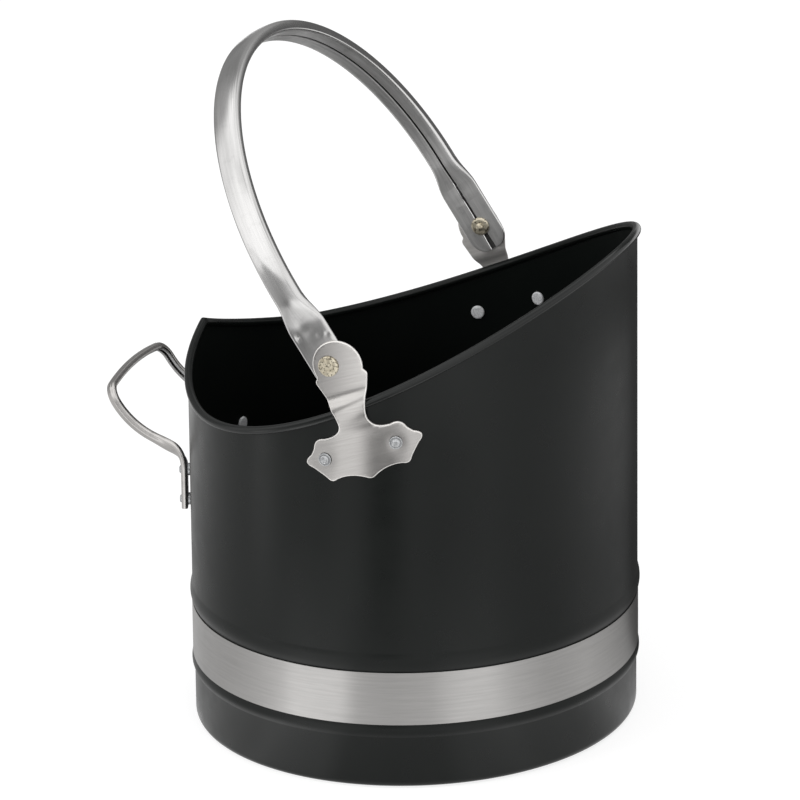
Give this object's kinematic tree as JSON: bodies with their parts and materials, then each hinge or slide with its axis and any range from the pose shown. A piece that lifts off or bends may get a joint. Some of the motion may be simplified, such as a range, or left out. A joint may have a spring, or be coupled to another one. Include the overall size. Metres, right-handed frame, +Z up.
{
  "type": "log carrier",
  "caption": "Oval black steel log carrier with a sweeping pouring lip, a bright trim band, a swinging bail on riveted ears and a fixed rear handle for tilting.",
  "frame": {"origin": "middle of the oval body's underside, at floor level", "axes": "+Z up, +X towards the high pouring lip, Y along the bail's pivot line; the rear handle is on the -X side"},
  "size_m": [0.3798, 0.354, 0.4962],
  "materials": {
    "black_coat": "satin black powder coat",
    "brushed_steel": "brushed stainless steel",
    "polished_steel": "half polished steel",
    "rivet_steel": "dull bright rivet steel",
    "brass": "pale brass with a hammered head",
    "wire_steel": "plain drawn wire"
  },
  "bodies": {
    "bucket": {"base_pan": "black_coat", "bucket_shell": "black_coat", "handle_rivet_left_lower": "rivet_steel", "handle_rivet_left_upper": "rivet_steel", "handle_rivet_right_lower": "rivet_steel", "handle_rivet_right_upper": "rivet_steel", "handle_spacer_left_lower": "rivet_steel", "handle_spacer_left_upper": "rivet_steel", "handle_spacer_right_lower": "rivet_steel", "handle_spacer_right_upper": "rivet_steel", "left_ear": "brushed_steel", "left_ear_rivet_front": "rivet_steel", "left_ear_rivet_rear": "rivet_steel", "left_pivot_burr": "brass", "left_pivot_rivet": "brass", "rear_handle": "polished_steel", "right_ear": "brushed_steel", "right_ear_rivet_front": "rivet_steel", "right_ear_rivet_rear": "rivet_steel", "right_pivot_burr": "brass", "right_pivot_rivet": "brass", "rim_wire": "wire_steel", "steel_band": "brushed_steel"},
    "bail": {"bail_handle": "polished_steel"}
  },
  "joints": [
    {"name": "bail_swing", "type": "hinge", "parent": "bucket", "child": "bail", "pos_m": [-0.00324, 0, 0.31059], "axis": [0, 1, 0], "range_deg": [-83, 121]}
  ]
}
